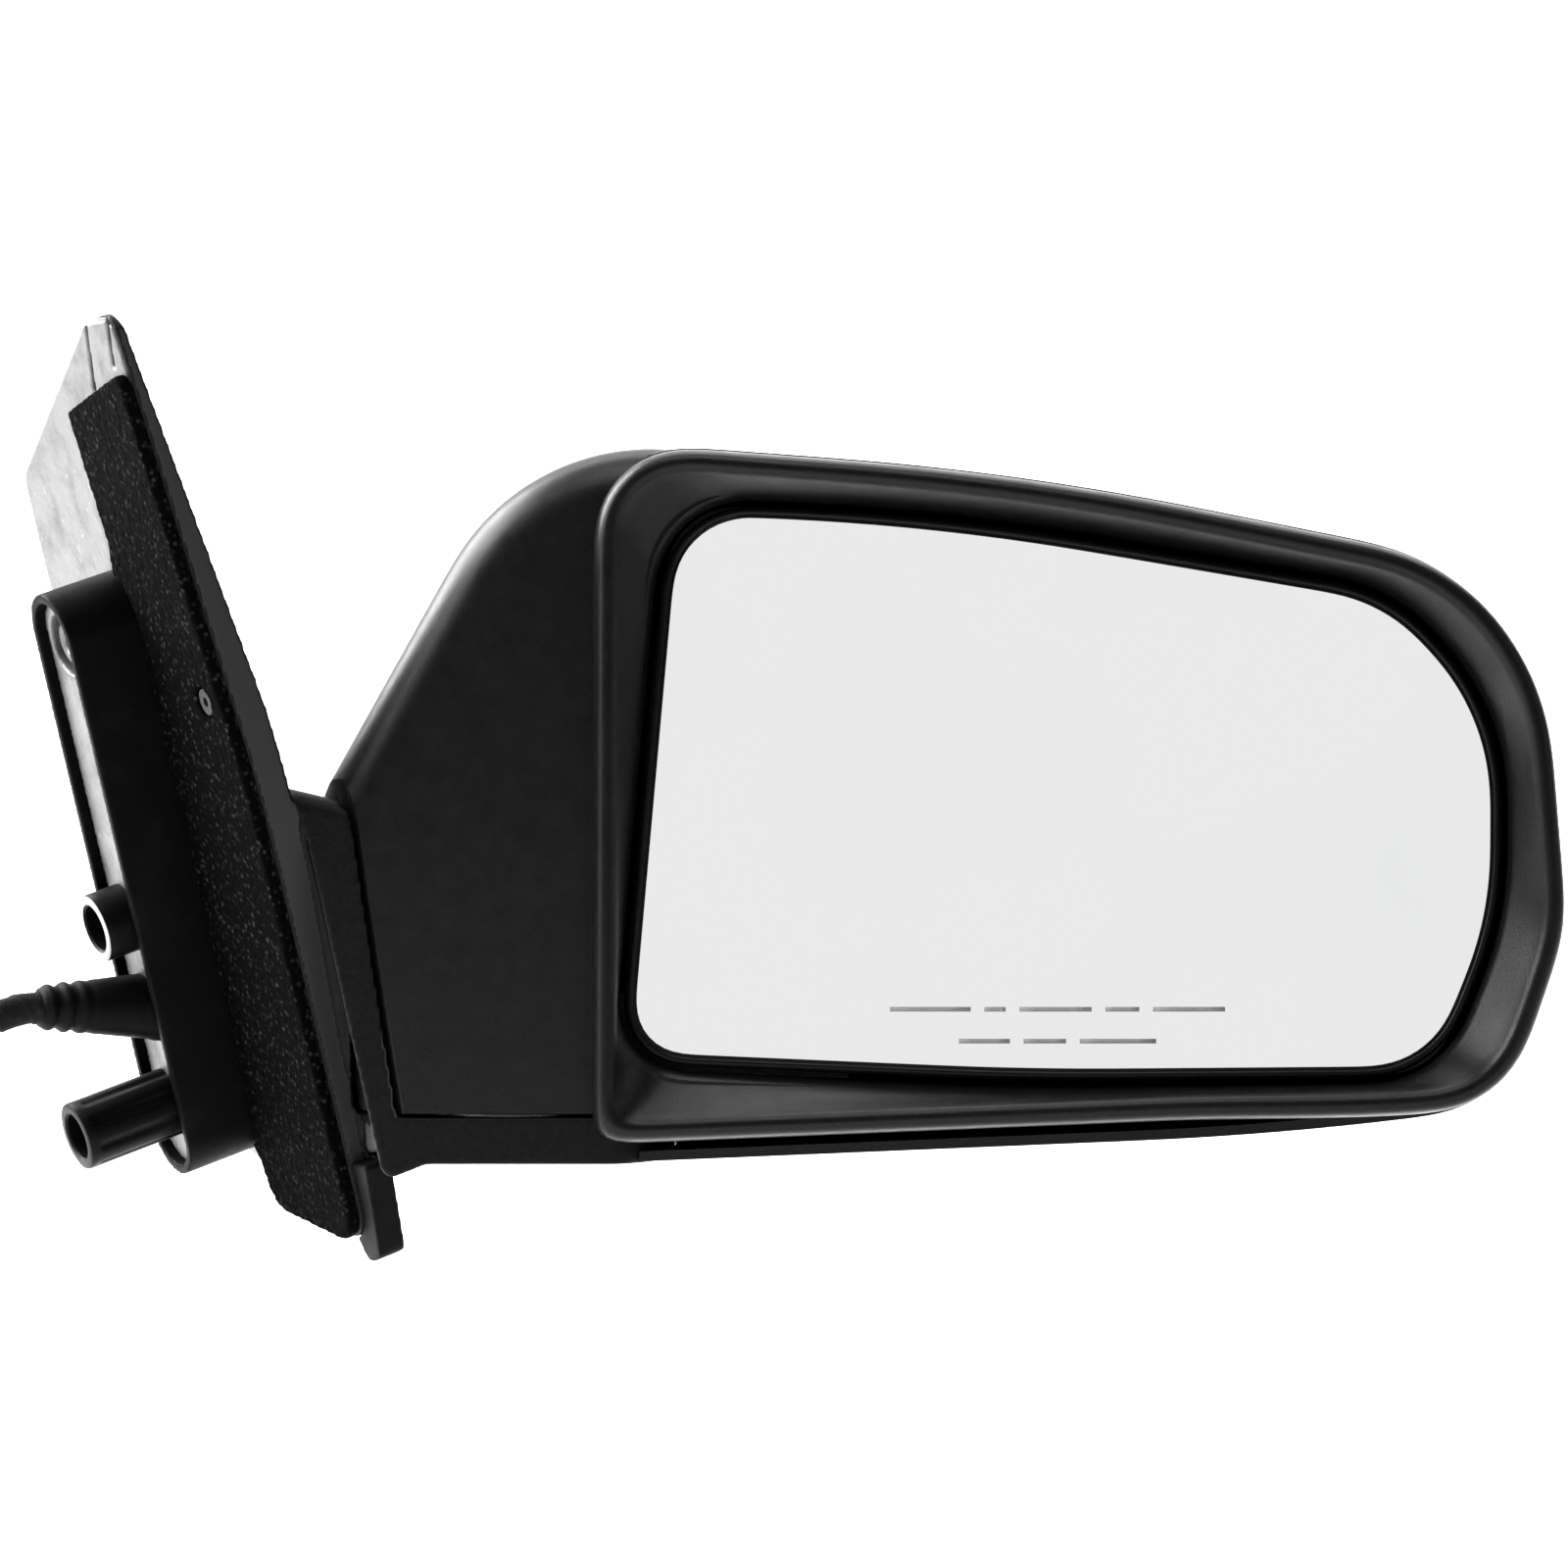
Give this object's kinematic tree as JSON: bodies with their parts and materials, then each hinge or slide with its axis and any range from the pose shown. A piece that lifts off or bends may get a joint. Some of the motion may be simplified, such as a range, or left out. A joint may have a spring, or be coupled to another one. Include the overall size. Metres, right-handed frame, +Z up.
{
  "type": "car side mirror",
  "caption": "Passenger-side car door mirror with a sealed foot, folding head, convex glass on a two-axis powered carrier and a free cable lead.",
  "frame": {"origin": "middle of the gasket face that rests on the door", "axes": "+X outboard from the car, +Y toward the front of the car, +Z up"},
  "size_m": [0.4188, 0.1118, 0.2965],
  "materials": {
    "cast_metal": "die cast",
    "cover_plastic": "fine grain",
    "foam": "speckled closed-cell foam",
    "seal_rubber": "smooth",
    "boss_steel": "turned",
    "boss_plastic": "ribbed",
    "cable_sleeve": "taped",
    "connector_plastic": "moulded",
    "steel": "drawn tube",
    "spring_steel": "oiled",
    "screw_steel": "zinc plated",
    "nylon": "natural",
    "frame_plastic": "glass filled",
    "motor_steel": "drawn can",
    "acetal": "smooth",
    "brass": "cut",
    "mirror": "chromed convex glass",
    "heater_foil": "printed foil"
  },
  "bodies": {
    "foot": {"base_bracket": "cast_metal", "foot_cover": "cover_plastic", "foam_gasket": "foam", "collar_seal": "seal_rubber", "seal_lip": "seal_rubber", "standoff_upper": "boss_steel", "standoff_middle": "boss_steel", "standoff_lower": "boss_plastic", "cable_boot": "seal_rubber", "cable": "cable_sleeve", "cable_connector": "connector_plastic", "harness_foot": "cable_sleeve", "pivot_post": "steel", "detent_plate": "steel", "pivot_spring": "spring_steel", "spring_washer": "steel", "retaining_ring": "spring_steel", "cover_screws": "screw_steel"},
    "head": {"housing_shell": "cover_plastic", "housing_bezel": "cover_plastic", "inner_frame": "frame_plastic", "pivot_bush": "nylon", "detent_balls": "steel", "frame_screws": "screw_steel", "actuator_front": "nylon", "actuator_rear": "nylon", "actuator_screws": "screw_steel", "motor_vertical": "motor_steel", "motor_horizontal": "motor_steel", "actuator_connector": "connector_plastic", "harness_head": "cable_sleeve"},
    "gimbal": {"gimbal_ring": "acetal"},
    "glass": {"mirror_glass": "mirror", "heater_pad": "heater_foil", "glass_carrier": "frame_plastic"},
    "plunger_v": {"plunger_vertical": "acetal"},
    "plunger_h": {"plunger_horizontal": "acetal"},
    "gear_v": {"gear_vertical": "acetal"},
    "gear_h": {"gear_horizontal": "acetal"},
    "worm_v": {"worm_vertical": "brass"},
    "worm_h": {"worm_horizontal": "brass"}
  },
  "joints": [
    {"name": "head_fold", "type": "hinge", "parent": "foot", "child": "head", "pos_m": [0.072, 0.016, -0.05], "axis": [0, 0, 1], "range_deg": [-65, 45]},
    {"name": "glass_tilt", "type": "hinge", "parent": "head", "child": "gimbal", "pos_m": [0.202, -0.001, -0.003], "axis": [1, 0, 0], "range_deg": [-6, 6]},
    {"name": "glass_pan", "type": "hinge", "parent": "gimbal", "child": "glass", "pos_m": [0.202, -0.001, -0.003], "axis": [0, 0, 1], "range_deg": [-6, 6]},
    {"name": "plunger_v_slide", "type": "slide", "parent": "head", "child": "plunger_v", "axis": [0, 1, 0], "range_m": [-0.0028, 0.0028]},
    {"name": "plunger_h_slide", "type": "slide", "parent": "head", "child": "plunger_h", "axis": [0, 1, 0], "range_m": [-0.0028, 0.0028]},
    {"name": "gear_v_spin", "type": "hinge", "parent": "head", "child": "gear_v", "pos_m": [0.202, 0.0175, 0.023], "axis": [0, 1, 0], "range_deg": [-124, 124]},
    {"name": "gear_h_spin", "type": "hinge", "parent": "head", "child": "gear_h", "pos_m": [0.228, 0.0175, -0.003], "axis": [0, 1, 0], "range_deg": [-124, 124]},
    {"name": "worm_v_spin", "type": "hinge", "parent": "head", "child": "worm_v", "pos_m": [0.202, 0.0175, 0.0114], "axis": [1, 0, 0], "range_deg": [-1110, 1110]},
    {"name": "worm_h_spin", "type": "hinge", "parent": "head", "child": "worm_h", "pos_m": [0.2164, 0.0175, -0.003], "axis": [0, 0, 1], "range_deg": [-1110, 1110]}
  ],
  "couplings": [
    {"joint": "plunger_v_slide", "follows": "glass_tilt", "m_per_rad": -0.026},
    {"joint": "plunger_h_slide", "follows": "glass_pan", "m_per_rad": 0.026},
    {"joint": "gear_v_spin", "follows": "glass_tilt", "ratio": -20.42},
    {"joint": "gear_h_spin", "follows": "glass_pan", "ratio": 20.42},
    {"joint": "worm_v_spin", "follows": "glass_tilt", "ratio": 183.78},
    {"joint": "worm_h_spin", "follows": "glass_pan", "ratio": 183.78}
  ]
}
